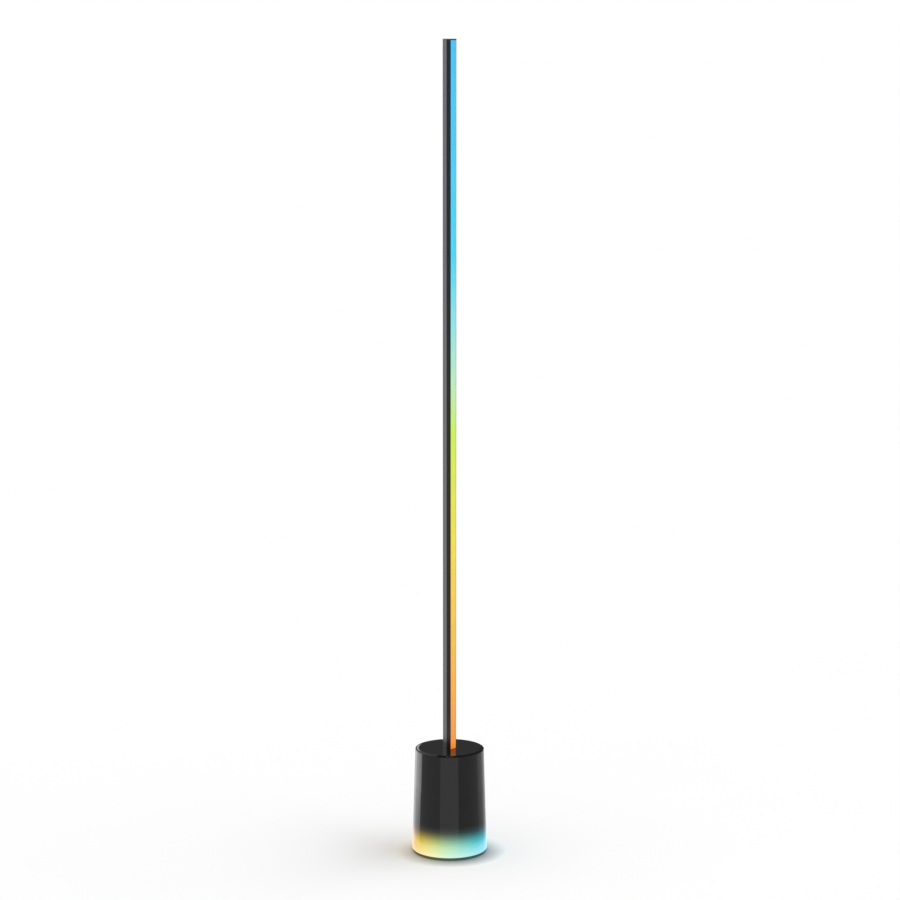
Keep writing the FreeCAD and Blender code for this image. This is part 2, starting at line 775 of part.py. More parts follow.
def make_foot_ring():
    """The rubber ring that the lamp stands on, with a tongue in the tray's groove."""
    piece = Piece("foot_ring")
    outer = TRAY_EDGE_RADIUS - s.foot_inset
    inner = outer - s.foot_width
    key_outer = outer - s.foot_key_inset
    key_inner = inner + s.foot_key_inset
    key_top = TRAY_BOTTOM + s.foot_key_depth
    section = piece.sketch("XZ_Plane")
    outline(section, [(inner, 0), (outer, 0, s.foot_round), (outer, TRAY_BOTTOM),
                      (key_outer, TRAY_BOTTOM), (key_outer, key_top),
                      (key_inner, key_top), (key_inner, TRAY_BOTTOM), (inner, TRAY_BOTTOM)])
    piece.revolve(section)


def make_base_tray():
    """The bottom cover: a floor, a groove for the foot ring, a step for the light ring and a lip in the shell."""
    piece = Piece("base_tray")
    groove_outer = TRAY_EDGE_RADIUS - s.foot_inset - s.foot_key_inset + s.slip_gap
    groove_inner = TRAY_EDGE_RADIUS - s.foot_inset - s.foot_width + s.foot_key_inset - s.slip_gap
    groove_top = TRAY_BOTTOM + s.foot_key_depth
    section = piece.sketch("XZ_Plane")
    outline(section, [(0, TRAY_BOTTOM), (groove_inner, TRAY_BOTTOM), (groove_inner, groove_top),
                      (groove_outer, groove_top), (groove_outer, TRAY_BOTTOM), (TRAY_EDGE_RADIUS, TRAY_BOTTOM),
                      (TRAY_EDGE_RADIUS, SHELL_FOOT), (TRAY_LIP_RADIUS, SHELL_FOOT),
                      (TRAY_LIP_RADIUS, TRAY_LIP_TOP), (TRAY_LIP_BORE, TRAY_LIP_TOP),
                      (TRAY_LIP_BORE, RING_BOARD_SEAT), (RING_BOARD_BORE, RING_BOARD_SEAT),
                      (RING_BOARD_BORE, TRAY_FLOOR), (0, TRAY_FLOOR)])
    piece.revolve(section)
    spots = BOSS_SPOTS + WEIGHT_SPOTS
    make_holes(piece, "XY_Plane", TRAY_BOTTOM, spots, s.screw_radius * s.head_ratio + s.loose_gap,
               s.screw_radius * s.head_height_ratio, along_normal=True)
    make_holes(piece, "XY_Plane", TRAY_BOTTOM, spots, s.screw_radius + s.slip_gap,
               s.tray_floor + s.loose_gap, along_normal=True)


def make_base_shell():
    """The smoked tapered tube. Its rim is a thin land, with a ledge inside it that carries the lid."""
    piece = Piece("base_shell")
    section = piece.sketch("XZ_Plane")
    outline(section, [(shell_bore(SHELL_FOOT), SHELL_FOOT), (SHELL_FOOT_RADIUS, SHELL_FOOT),
                      (s.shell_top_radius, SHELL_TOP, s.rim_round), (RIM_RADIUS, SHELL_TOP),
                      (RIM_RADIUS, LID_SEAT), (LEDGE_RADIUS, LID_SEAT), (LEDGE_RADIUS, FLANGE_SEAT),
                      (shell_bore(FLANGE_SEAT), FLANGE_SEAT)])
    piece.revolve(section)
    for height, radius in ((JACK_HEIGHT, s.jack_nose / 2), (BUTTON_HEIGHT, s.button_radius)):
        make_holes(piece, "XZ_Plane", -SHELL_FOOT_RADIUS, [(0, height)], radius + s.loose_gap,
                   SHELL_FOOT_RADIUS - FRAME_RADIUS, along_normal=True)


def make_base_lid():
    """The lid: a bevelled disc with the bar's opening and collar, and a skirt with hooks below."""
    piece = Piece("base_lid")
    inner = SKIRT_RADIUS - s.lid_skirt_wall
    foot = LID_SEAT - s.lid_skirt
    section = piece.sketch("XZ_Plane")
    outline(section, [(0, LID_SEAT), (inner, LID_SEAT), (inner, foot), (SKIRT_RADIUS, foot),
                      (SKIRT_RADIUS, LID_SEAT), (LID_RADIUS, LID_SEAT), (LID_RADIUS, LID_TOP - s.lid_bevel_drop),
                      (LID_RADIUS - s.lid_bevel, LID_TOP), (0, LID_TOP)])
    piece.revolve(section)
    catch = FRAME_FLANGE_BOTTOM - s.slip_gap
    reach = s.lid_skirt_wall / 2 + s.hook_reach
    hook = piece.sketch(height=catch - s.hook_height, turn=45)
    rectangle(hook, SKIRT_RADIUS + s.hook_reach - reach / 2, size(0), reach, s.hook_width)
    piece.ring(piece.pad(hook, s.hook_height), s.hook_count)
    collar = piece.sketch(height=LID_SEAT, **BAR)
    grow = s.loose_gap + s.lid_collar
    outline(collar, bar_outline(grow, DIFFUSER_FRONT - grow))
    piece.pad(collar, s.lid_collar_depth, Reversed=True)
    opening = piece.sketch(height=LID_TOP, **BAR)
    outline(opening, bar_outline(s.loose_gap, DIFFUSER_FRONT - s.loose_gap))
    piece.pocket(opening, s.lid_thickness + s.lid_collar_depth + s.loose_gap)


# ---------------------------------------------------------------- the base's inside

def make_inner_frame():
    """The opaque core: a wall from tray to rim, with a flange, a light baffle, bosses and posts."""
    piece = Piece("inner_frame")
    flange = shell_bore(FLANGE_SEAT) - s.loose_gap
    baffle = shell_bore(BAFFLE_TOP) - s.loose_gap
    section = piece.sketch("XZ_Plane")
    outline(section, [(FRAME_BORE, TRAY_FLOOR), (FRAME_RADIUS, TRAY_FLOOR), (FRAME_RADIUS, BAFFLE_BOTTOM),
                      (baffle, BAFFLE_BOTTOM), (baffle, BAFFLE_TOP), (FRAME_RADIUS, BAFFLE_TOP),
                      (FRAME_RADIUS, FRAME_FLANGE_BOTTOM), (flange, FRAME_FLANGE_BOTTOM), (flange, FLANGE_SEAT),
                      (LEDGE_RADIUS, FLANGE_SEAT), (LEDGE_RADIUS, FRAME_FLANGE_BOTTOM),
                      (FRAME_BORE, FRAME_FLANGE_BOTTOM)])
    piece.revolve(section)
    feet = piece.sketch(height=TRAY_FLOOR)
    circles(feet, BOSS_SPOTS, s.boss_radius)
    piece.pad(feet, s.boss_height)
    posts = piece.sketch(height=BOARD_BOTTOM)
    circles(posts, POST_SPOTS, s.post_radius)
    piece.pad(posts, s.post_height, Reversed=True)
    bosses = piece.sketch("XZ_Plane", height=-REAR_BOARD_BACK)
    circles(bosses, rear_board_spots(), s.rear_boss_radius)
    piece.pad(bosses, s.rear_board_inset, Reversed=True)
    # what the rear board's bosses leave outside the wall comes off again
    trim = piece.sketch("XZ_Plane")
    outline(trim, [(FRAME_RADIUS, BAFFLE_TOP), (SHELL_FOOT_RADIUS, BAFFLE_TOP),
                   (SHELL_FOOT_RADIUS, FRAME_FLANGE_BOTTOM), (FRAME_RADIUS, FRAME_FLANGE_BOTTOM)])
    piece.groove(trim)
    make_holes(piece, "XY_Plane", TRAY_FLOOR, BOSS_SPOTS, TAP_RADIUS, s.screw_bite + s.loose_gap,
               along_normal=True)
    make_holes(piece, "XY_Plane", BOARD_BOTTOM, POST_SPOTS, TAP_RADIUS, s.screw_bite + s.loose_gap)
    make_holes(piece, "XZ_Plane", -REAR_BOARD_BACK, rear_board_spots(), TAP_RADIUS, s.rear_screw_bite + s.loose_gap)
    for height, radius in ((JACK_HEIGHT, s.jack_nose / 2 + s.loose_gap),
                           (BUTTON_HEIGHT, s.button_stem + s.run_gap)):
        make_holes(piece, "XZ_Plane", -FRAME_RADIUS - s.loose_gap, [(0, height)], radius,
                   2 * s.frame_wall, along_normal=True)
    window = piece.sketch("XZ_Plane", height=FRAME_RADIUS + s.loose_gap, swing=GLOW_WIRE_ANGLE + 90)
    rectangle(window, size(0), GLOW_WIRE_RUN, s.window_width, s.window_height)
    piece.pocket(window, 2 * s.frame_wall)


def make_glow_liner():
    """The opal light guide: a tapered tube close behind the shell's lit band."""
    piece = Piece("glow_liner")
    top = BAFFLE_BOTTOM - s.loose_gap
    low_radius = shell_bore(TRAY_LIP_TOP) - s.loose_gap
    top_radius = shell_bore(top) - s.loose_gap
    section = piece.sketch("XZ_Plane")
    outline(section, [(low_radius - s.liner_wall, TRAY_LIP_TOP), (low_radius, TRAY_LIP_TOP),
                      (top_radius, top), (top_radius - s.liner_wall, top)])
    piece.revolve(section)


def make_glow_board():
    piece = Piece("glow_board")
    section = piece.sketch(height=RING_BOARD_SEAT)
    circle(section, 0, 0, RING_BOARD_RADIUS)
    circle(section, 0, 0, RING_BOARD_BORE + s.loose_gap)
    piece.pad(section, s.ring_board_thickness)


def make_glow_leds():
    """Chips evenly round the ring board, facing up into the liner."""
    piece = Piece("glow_leds")
    section = piece.sketch(height=RING_BOARD_TOP)
    middle = (RING_BOARD_RADIUS + RING_BOARD_BORE) / 2
    rectangle(section, middle, size(0), s.ring_led_size, s.ring_led_size)
    piece.ring(piece.pad(section, s.ring_led_height), s.ring_led_count)


def make_glow_wires():
    """Two wires from the ring board, in through the frame's window and up to the control board."""
    piece = Piece("glow_wires", turn=GLOW_WIRE_ANGLE)
    outer = RING_BOARD_BORE + s.loose_gap + s.wire_radius + s.slip_gap
    inner = FRAME_BORE - s.wire_inset
    path = piece.sketch("XZ_Plane", height=s.wire_pitch / 2)
    chain(path, [(outer, RING_BOARD_TOP), (outer, GLOW_WIRE_RUN, s.wire_bend / 2),
                 (inner, GLOW_WIRE_RUN, s.wire_bend / 2), (inner, BOARD_BOTTOM)], False)
    section = piece.sketch(height=RING_BOARD_TOP)
    circle(section, outer, -s.wire_pitch / 2, s.wire_radius)
    wire = piece.feature("AdditivePipe", Profile=section, Spine=path)
    piece.row(wire, "Y_Axis", s.wire_pitch, 2)


def make_counterweight():
    """The cast disc: notches for the frame's bosses, a bore and a sink for the draw bolt, and tapped holes."""
    piece = Piece("counterweight")
    disc = piece.sketch(height=TRAY_FLOOR)
    circle(disc, 0, 0, WEIGHT_RADIUS)
    piece.pad(disc, s.weight_thickness)
    piece.chamfer(s.weight_chamfer, round_edge(WEIGHT_TOP, WEIGHT_RADIUS))
    make_holes(piece, "XY_Plane", WEIGHT_TOP, BOSS_SPOTS, s.boss_radius + s.loose_gap, s.weight_thickness)
    make_holes(piece, "XY_Plane", TRAY_FLOOR, WEIGHT_SPOTS, TAP_RADIUS, s.screw_bite + s.loose_gap,
               along_normal=True)
    make_holes(piece, "XY_Plane", WEIGHT_TOP, [(0, BOLT_Y)], s.bolt_radius + s.slip_gap, s.weight_thickness, **BAR)
    make_holes(piece, "XY_Plane", TRAY_FLOOR, [(0, BOLT_Y)], s.bolt_head_radius + s.loose_gap,
               BOLT_SEAT - TRAY_FLOOR, along_normal=True, **BAR)
    make_holes(piece, "XY_Plane", WEIGHT_TOP, SOCKET_SPOTS, s.socket_screw_radius + s.slip_gap / 2,
               s.socket_screw_bite + s.loose_gap, **BAR)


def make_pole_socket():
    """The cast socket: a flange, a column round the bar's foot and four ribs between them."""
    piece = Piece("pole_socket", **BAR)
    flange = piece.sketch(height=WEIGHT_TOP)
    circle(flange, 0, 0, s.socket_flange_radius)
    piece.pad(flange, s.socket_flange)
    column = piece.sketch(height=WEIGHT_TOP)
    grow = s.slip_gap + s.socket_wall
    outline(column, bar_outline(grow, BAR_FRONT - grow))
    piece.pad(column, s.socket_flange + s.socket_depth)
    rib = piece.sketch("XZ_Plane", height=-s.socket_rib / 2)
    outline(rib, [(0, WEIGHT_TOP), (s.socket_flange_radius - s.socket_rib_inset, WEIGHT_TOP),
                  (s.socket_flange_radius - s.socket_rib_inset, SOCKET_FLOOR),
                  (0, SOCKET_FLOOR + s.socket_rib_height)])
    piece.ring(piece.pad(rib, s.socket_rib), 4)
    pocket = piece.sketch(height=SOCKET_TOP)
    outline(pocket, bar_outline(s.slip_gap, BAR_FRONT - s.slip_gap))
    piece.pocket(pocket, s.socket_depth)
    make_holes(piece, "XY_Plane", SOCKET_FLOOR, [(0, BOLT_Y)], s.bolt_radius + s.slip_gap,
               s.socket_flange + s.loose_gap)
    make_holes(piece, "XY_Plane", SOCKET_FLOOR, SOCKET_SPOTS, s.socket_screw_radius + s.slip_gap,
               s.socket_flange + s.loose_gap)


def make_socket_screws():
    piece = Piece("socket_screws", **BAR)
    make_screws(piece, "XY_Plane", SOCKET_FLOOR, SOCKET_SPOTS, s.socket_screw_radius,
                s.socket_flange + s.socket_screw_bite)


def make_draw_bolt():
    """The long bolt that pulls the bar's tenon down into the socket, with a hex socket in its head."""
    piece = Piece("draw_bolt", **BAR)
    head = piece.sketch(height=BOLT_SEAT)
    circle(head, 0, BOLT_Y, s.bolt_head_radius)
    piece.pad(head, s.bolt_head, Reversed=True)
    shank = piece.sketch(height=BOLT_SEAT)
    circle(shank, 0, BOLT_Y, s.bolt_radius)
    piece.pad(shank, SOCKET_FLOOR + s.bolt_grip - BOLT_SEAT)
    drive = piece.sketch(height=BOLT_SEAT - s.bolt_head)
    hexagon(drive, size(0), BOLT_Y, s.bolt_radius)
    piece.pocket(drive, s.bolt_head / 2, Reversed=True)


def make_weight_screws():
    piece = Piece("weight_screws")
    make_screws(piece, "XY_Plane", TRAY_SCREW_SEAT, WEIGHT_SPOTS, s.screw_radius,
                TRAY_FLOOR - TRAY_SCREW_SEAT + s.screw_bite, flip=True)


def make_frame_screws():
    piece = Piece("frame_screws")
    make_screws(piece, "XY_Plane", TRAY_SCREW_SEAT, BOSS_SPOTS, s.screw_radius,
                TRAY_FLOOR - TRAY_SCREW_SEAT + s.screw_bite, flip=True)


# ---------------------------------------------------------------- the electronics

def make_control_board():
    """The main board: round, cut straight behind, with a notch that lets it slide in round the bar."""
    piece = Piece("control_board")
    disc = piece.sketch(height=BOARD_BOTTOM)
    circle(disc, 0, 0, BOARD_RADIUS)
    piece.pad(disc, s.board_thickness)
    behind = piece.sketch(height=BOARD_TOP)
    rectangle(behind, size(0), BOARD_CUT + BOARD_RADIUS / 2, 2 * BOARD_RADIUS, BOARD_RADIUS)
    piece.pocket(behind, s.board_thickness)
    notch = piece.sketch(height=BOARD_TOP, **BAR)
    half = s.bar_width / 2 + s.bar_notch_margin
    front = BAR_FRONT - s.bar_notch_margin
    outline(notch, [(-half, front), (half, front), (half, BOARD_RADIUS + half), (-half, BOARD_RADIUS + half)])
    piece.pocket(notch, s.board_thickness)
    make_holes(piece, "XY_Plane", BOARD_TOP, POST_SPOTS, s.screw_radius + s.slip_gap, s.board_thickness)


def make_board_screws():
    piece = Piece("board_screws")
    make_screws(piece, "XY_Plane", BOARD_TOP, POST_SPOTS, s.screw_radius, s.board_thickness + s.screw_bite)


def make_control_chips():
    """The processor, the radio module and the LED driver, at shares of the board's radius."""
    piece = Piece("control_chips")
    section = piece.sketch(height=BOARD_TOP)
    for share_x, share_y, width, depth in ((-0.34, -0.5, s.processor_size, s.processor_size),
                                           (0.11, -0.73, s.radio_width, s.radio_depth),
                                           (0.57, -0.27, s.driver_width, s.driver_depth)):
        rectangle(section, share_x * BOARD_RADIUS, share_y * BOARD_RADIUS, width, depth)
    piece.pad(section, s.chip_block_height)


def make_control_capacitors():
    piece = Piece("control_capacitors")
    section = piece.sketch(height=BOARD_TOP)
    for share_x, share_y in ((-0.7, -0.06), (-0.72, -0.33)):
        circle(section, share_x * BOARD_RADIUS, share_y * BOARD_RADIUS, s.capacitor_radius)
    piece.pad(section, s.capacitor_height)
    piece.chamfer(s.capacitor_chamfer, level_edge(BOARD_TOP + s.capacitor_height))


def make_bar_header():
    """The connector that the bar's wires plug into."""
    piece = Piece("bar_header", **BAR)
    section = piece.sketch(height=BOARD_TOP)
    rectangle(section, size(0), HEADER_Y, s.header_width, s.header_depth)
    piece.pad(section, s.header_height)


def make_rear_board():
    """The upright board behind the inlet and the button."""
    piece = Piece("rear_board")
    section = piece.sketch("XZ_Plane", height=-REAR_BOARD_BACK)
    rectangle(section, size(0), REAR_BOARD_MIDDLE, s.rear_board_width, 2 * REAR_BOARD_HALF)
    piece.pad(section, s.board_thickness)
    make_holes(piece, "XZ_Plane", -REAR_BOARD_FRONT, rear_board_spots(), s.screw_radius + s.slip_gap,
               s.board_thickness)


def make_rear_board_screws():
    piece = Piece("rear_board_screws")
    make_screws(piece, "XZ_Plane", -REAR_BOARD_FRONT, rear_board_spots(), s.screw_radius,
                s.board_thickness + s.rear_screw_bite)


def make_power_wires():
    """Two wires from the rear board, up to the control board's straight edge."""
    piece = Piece("power_wires")
    side = s.rear_board_width / 2 - s.wire_inset
    start = REAR_BOARD_MIDDLE - s.wire_drop
    path = piece.sketch("YZ_Plane", height=side)
    rise = BOARD_CUT - s.wire_inset
    chain(path, [(REAR_BOARD_FRONT, start), (rise, start, s.wire_bend), (rise, BOARD_BOTTOM)], False)
    section = piece.sketch("XZ_Plane", height=-REAR_BOARD_FRONT)
    circle(section, side, start, s.wire_radius)
    wire = piece.feature("AdditivePipe", Profile=section, Spine=path)
    piece.row(wire, "X_Axis", s.wire_pitch, 2, back=True)


# ---------------------------------------------------------------- the inlet and the button

def make_dc_jack():
    """The supply inlet: a block on the rear board and a round nose through the frame and the shell."""
    piece = Piece("dc_jack")
    block = piece.sketch("XZ_Plane", height=-REAR_BOARD_BACK)
    rectangle(block, size(0), JACK_HEIGHT, s.jack_block_width, s.jack_block_height)
    piece.pad(block, s.jack_block_depth, Reversed=True)
    nose = piece.sketch("XZ_Plane", height=-REAR_BOARD_BACK)
    circle(nose, 0, JACK_HEIGHT, s.jack_nose / 2)
    piece.pad(nose, JACK_MOUTH - REAR_BOARD_BACK, Reversed=True)
    make_holes(piece, "XZ_Plane", -JACK_MOUTH, [(0, JACK_HEIGHT)], s.jack_bore / 2, s.jack_bore_depth,
               along_normal=True)


def make_dc_jack_pin():
    """The inlet's centre contact, standing in the bore."""
    piece = Piece("dc_jack_pin")
    section = piece.sketch("XZ_Plane", height=s.jack_bore_depth - JACK_MOUTH)
    circle(section, 0, JACK_HEIGHT, s.jack_pin / 2)
    piece.pad(section, s.jack_bore_depth - s.jack_pin_inset, Reversed=True)


def make_button_switch():
    """The push switch on the rear board, bored for its plunger."""
    piece = Piece("button_switch")
    block = piece.sketch("XZ_Plane", height=-REAR_BOARD_BACK)
    rectangle(block, size(0), BUTTON_HEIGHT, s.switch_size, s.switch_size)
    piece.pad(block, s.switch_height, Reversed=True)
    make_holes(piece, "XZ_Plane", -SWITCH_FACE, [(0, BUTTON_HEIGHT)], s.plunger_radius + s.loose_gap,
               s.plunger_sink + s.button_travel + s.loose_gap, along_normal=True)


def make_switch_plunger():
    """The plunger that the button's stem pushes into the switch."""
    piece = Piece("switch_plunger")
    section = piece.sketch("XZ_Plane", height=s.plunger_sink - SWITCH_FACE)
    circle(section, 0, BUTTON_HEIGHT, s.plunger_radius)
    piece.pad(section, STEM_END - SWITCH_FACE + s.plunger_sink, Reversed=True)


def make_power_button():
    """The round cap in the shell's opening, its flange behind the wall and its stem through the frame."""
    piece = Piece("power_button")
    for start, length, radius in ((STEM_END, BUTTON_FLANGE_BACK - STEM_END, s.button_stem),
                                  (BUTTON_FLANGE_BACK, s.button_flange, BUTTON_FLANGE_RADIUS),
                                  (BUTTON_FLANGE_BACK, BUTTON_FACE - BUTTON_FLANGE_BACK, s.button_radius)):
        section = piece.sketch("XZ_Plane", height=-start)
        circle(section, 0, BUTTON_HEIGHT, radius)
        piece.pad(section, length, Reversed=True)
    face = BUTTON_FACE.number
    piece.fillet(s.button_round, lambda edge: all(abs(v.Y - face) < 1e-4 for v in edge.Vertexes))


# ---------------------------------------------------------------- build, check and write

for make in (make_bar_housing, make_bar_diffuser, make_led_strip, make_bar_leds, make_bar_cap, make_bar_tenon,
             make_tenon_screws, make_bar_wires, make_foot_ring, make_base_tray, make_base_shell, make_base_lid,
             make_inner_frame, make_glow_liner, make_glow_board, make_glow_leds, make_glow_wires,
             make_counterweight, make_pole_socket, make_socket_screws, make_draw_bolt, make_weight_screws,
             make_frame_screws, make_control_board, make_board_screws, make_control_chips,
             make_control_capacitors, make_bar_header, make_rear_board, make_rear_board_screws,
             make_power_wires, make_dc_jack, make_dc_jack_pin, make_button_switch, make_switch_plunger,
             make_power_button):
    make()
doc.recompute()

for thing in doc.Objects:
    if "Invalid" in thing.State or "Error" in thing.State:
        raise RuntimeError(f"{thing.Name} is {thing.State}")
for before, cut in cuts:
    if cut.Shape.Volume >= before.Shape.Volume - 1e-6:
        raise RuntimeError(f"{cut.Name} cuts nothing")

os.makedirs("parts", exist_ok=True)
for body in bodies:
    if body.Shape.isNull() or not body.Shape.isValid():
        raise RuntimeError(f"{body.Label} has no valid shape")
    body.Shape.exportStep(f"parts/{body.Label}.step")
    print(body.Label, len(body.Shape.Solids), round(body.Shape.Volume, 1))
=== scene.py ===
"""Looks of the corner floor lamp: its materials, the studio and the camera.

Metres, +Z up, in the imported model's own frame. The base's front looks along -Y.
"""
import json
import math

import bpy
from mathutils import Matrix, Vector


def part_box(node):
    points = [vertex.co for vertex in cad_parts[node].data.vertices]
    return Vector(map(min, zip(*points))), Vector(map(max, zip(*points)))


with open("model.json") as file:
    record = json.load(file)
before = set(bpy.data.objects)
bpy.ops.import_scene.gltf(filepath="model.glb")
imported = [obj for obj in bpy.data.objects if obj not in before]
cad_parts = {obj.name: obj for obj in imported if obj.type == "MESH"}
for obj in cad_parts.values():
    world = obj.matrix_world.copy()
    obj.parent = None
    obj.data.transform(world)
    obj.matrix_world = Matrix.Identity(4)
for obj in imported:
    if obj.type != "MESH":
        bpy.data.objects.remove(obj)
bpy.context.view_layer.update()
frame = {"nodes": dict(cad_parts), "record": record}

scene = bpy.context.scene
scene.view_settings.view_transform = "Standard"

# ---------------------------------------------------------------- places on the lamp, in metres

shell_low, shell_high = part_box("base_shell")
SHELL_RADIUS = shell_high.x
SHELL_FOOT = shell_low.z
GLOW_TOP = 0.071            # above this height no glow is left in the smoked shell
BAR_TURN = math.radians(46)
BAR_BEND = 0.0039           # behind the lamp's upright axis, where the bar's sides start to taper
BEND_BLUR = 0.0004          # to each side of that bend, over which the painted glow of the diffuser's light on the metal fades


def srgb(red, green, blue):
    """A colour as it shows on a screen, as the linear colour that shaders take."""
    linear = []
    for value in (red / 255, green / 255, blue / 255):
        linear.append(value / 12.92 if value <= 0.04045 else ((value + 0.055) / 1.055) ** 2.4)
    return (*linear, 1.0)


def grey(value):
    """A grey as a linear colour."""
    return (value, value, value, 1.0)


# stops of (share, colour): the bar's colours from its foot to its top, and the base's from left to right
BAR_COLOURS = (
    (0.003, srgb(241, 124, 32)), (0.012, srgb(236, 149, 70)), (0.13, srgb(241, 178, 77)),
    (0.30, srgb(235, 213, 75)), (0.46, srgb(196, 232, 80)), (0.53, srgb(179, 228, 183)),
    (0.61, srgb(136, 220, 223)), (0.70, srgb(69, 206, 237)), (1.00, srgb(62, 187, 238)),
)
FOOT_COLOURS = (
    (0.04, (0.95, 0.55, 0.01, 1)), (0.10, (0.96, 0.72, 0.02, 1)), (0.18, (0.99, 0.82, 0.16, 1)),
    (0.28, (0.86, 0.90, 0.28, 1)), (0.40, (0.63, 0.92, 0.42, 1)), (0.50, (0.50, 0.91, 0.57, 1)),
    (0.60, (0.38, 0.89, 0.65, 1)), (0.72, (0.24, 0.86, 0.77, 1)), (0.83, (0.11, 0.79, 0.83, 1)),
    (0.90, (0.07, 0.75, 0.87, 1)), (0.98, (0.03, 0.68, 0.90, 1)),
)

# how bright the lit foot is, and how much white is in it, from the shell's foot to the top of the glow
GLOW_LEVELS = (
    (0.04, 1.0), (0.10, 0.93), (0.20, 0.88), (0.30, 0.77), (0.38, 0.62), (0.45, 0.46),
    (0.53, 0.27), (0.61, 0.13), (0.68, 0.05), (0.76, 0.016), (0.84, 0.0),
)
GLOW_WHITES = ((0.05, 0.30), (0.17, 0.21), (0.30, 0.10), (0.38, 0.0))

# ---------------------------------------------------------------- camera

CAMERA_PLACE = (0.00074, -4.456, 1.4494)
CAMERA_PITCH = 9.138        # degrees below level
CAMERA_LENS = 102.19        # millimetres
CAMERA_SIGHT = 200

camera = bpy.data.objects.new("camera", bpy.data.cameras.new("camera"))
scene.collection.objects.link(camera)
camera.location = CAMERA_PLACE
camera.rotation_euler = (math.radians(90 - CAMERA_PITCH), 0, 0)
camera.data.lens = CAMERA_LENS
camera.data.clip_end = CAMERA_SIGHT
scene.camera = camera


# ---------------------------------------------------------------- looks

class Look:
    """A material: the Principled shader and the nodes that feed it. Object coordinates are metres."""

    def __init__(self, name, colour, roughness, metallic=0.0, ior=1.5):
        self.material = bpy.data.materials.new(name)
        self.material.use_nodes = True
        self.nodes = self.material.node_tree.nodes
        self.links = self.material.node_tree.links
        self.shader = self.nodes["Principled BSDF"]
        self.place = self.nodes.new("ShaderNodeTexCoord").outputs["Object"]
        self.normal = None
        self.set("Base Color", colour)
        self.set("Roughness", roughness)
        self.set("Metallic", metallic)
        self.set("IOR", ior)

    def set(self, socket, value):
        self.feed(self.shader.inputs[socket], value)

    def feed(self, socket, value):
        """A link where the value comes from a node, or else the value itself."""
        if isinstance(value, bpy.types.NodeSocket):
            self.links.new(value, socket)
        else:
            socket.default_value = value

    def node(self, kind, inputs=(), **settings):
        node = self.nodes.new(f"ShaderNode{kind}")
        for name, value in settings.items():
            setattr(node, name, value)
        for name, value in dict(inputs).items():
            self.feed(node.inputs[name], value)
        return node

    def math(self, operation, a, b):
        return self.node("Math", {0: a, 1: b}, operation=operation).outputs[0]

    def span(self, value, low, high, start=0.0, end=1.0):
        """A value between two limits, spread from start to end."""
        inputs = {"Value": value, "From Min": low, "From Max": high, "To Min": start, "To Max": end}
        return self.node("MapRange", inputs).outputs[0]

    def ramp(self, value, stops):
        """A colour, or a grey, read off along stops of (share, colour)."""
        node = self.node("ValToRGB", {"Fac": value})
        elements = node.color_ramp.elements
        while len(elements) < len(stops):
            elements.new(0.5)
        for element, (share, colour) in zip(elements, stops):
            element.position = share
            element.color = colour if hasattr(colour, "__len__") else grey(colour)
        return node.outputs["Color"]

    def mix(self, factor, a, b, blend="MIX"):
        node = self.node("Mix", data_type="RGBA", blend_type=blend)
        self.feed(node.inputs[0], factor)
        self.feed(node.inputs[6], a)
        self.feed(node.inputs[7], b)
        return node.outputs[2]

    def axis(self, direction):
        """How far a point lies along a direction."""
        inputs = {0: self.place, 1: direction}
        return self.node("VectorMath", inputs, operation="DOT_PRODUCT").outputs["Value"]

    def scaled(self, scale):
        """The place, multiplied along each axis."""
        return self.node("VectorMath", {0: self.place, 1: scale}, operation="MULTIPLY").outputs[0]

    def noise(self, size, detail, stretch=(1, 1, 1)):
        """Soft noise with features of one size in metres, drawn out along the axes."""
        scale = [1 / (size * s) for s in stretch]
        inputs = {"Vector": self.scaled(scale), "Scale": 1.0, "Detail": detail}
        return self.node("TexNoise", inputs).outputs["Fac"]

    def cells(self, size, feature="F1"):
        """Distances in a pattern of cells of one size in metres."""
        inputs = {"Vector": self.scaled([1 / size] * 3), "Scale": 1.0}
        return self.node("TexVoronoi", inputs, feature=feature).outputs["Distance"]

    def bump(self, height, depth, strength):
        """Relief of one depth in metres, on top of the relief so far."""
        inputs = {"Height": height, "Distance": depth, "Strength": strength}
        if self.normal:
            inputs["Normal"] = self.normal
        self.normal = self.node("Bump", inputs).outputs["Normal"]
        self.set("Normal", self.normal)

    def vary(self, socket, factor, low, high):
        """One number of the shader, spread between two values by a factor."""
        self.set(socket, self.span(factor, 0.3, 0.7, low, high))

    def tint(self, factor, a, b):
        """The base colour, between two colours by a factor."""
        self.set("Base Color", self.mix(self.span(factor, 0.3, 0.7), a, b))

    def glow(self, colour, strength):
        self.set("Emission Color", colour)
        self.set("Emission Strength", strength)


def moulded(name, low, high, roughness, grain=0.0004):
    """Moulded plastic: a fine grain, slow changes of shade and small differences in gloss."""
    look = Look(name, low, roughness)
    look.tint(look.noise(0.02, 4), low, high)
    look.vary("Roughness", look.noise(0.006, 3), roughness - 0.05, roughness + 0.05)
    look.bump(look.noise(grain, 2), 0.00002, 0.5)
    return look


def height_colour(look):
    """The bar's light at a point's height."""
    low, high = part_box("bar_diffuser")
    return look.ramp(look.span(look.axis((0, 0, 1)), low.z, high.z), BAR_COLOURS)


def foot_colour(look):
    """The base's light at a point, from left to right."""
    return look.ramp(look.span(look.axis((1, 0, 0)), -SHELL_RADIUS, SHELL_RADIUS), FOOT_COLOURS)


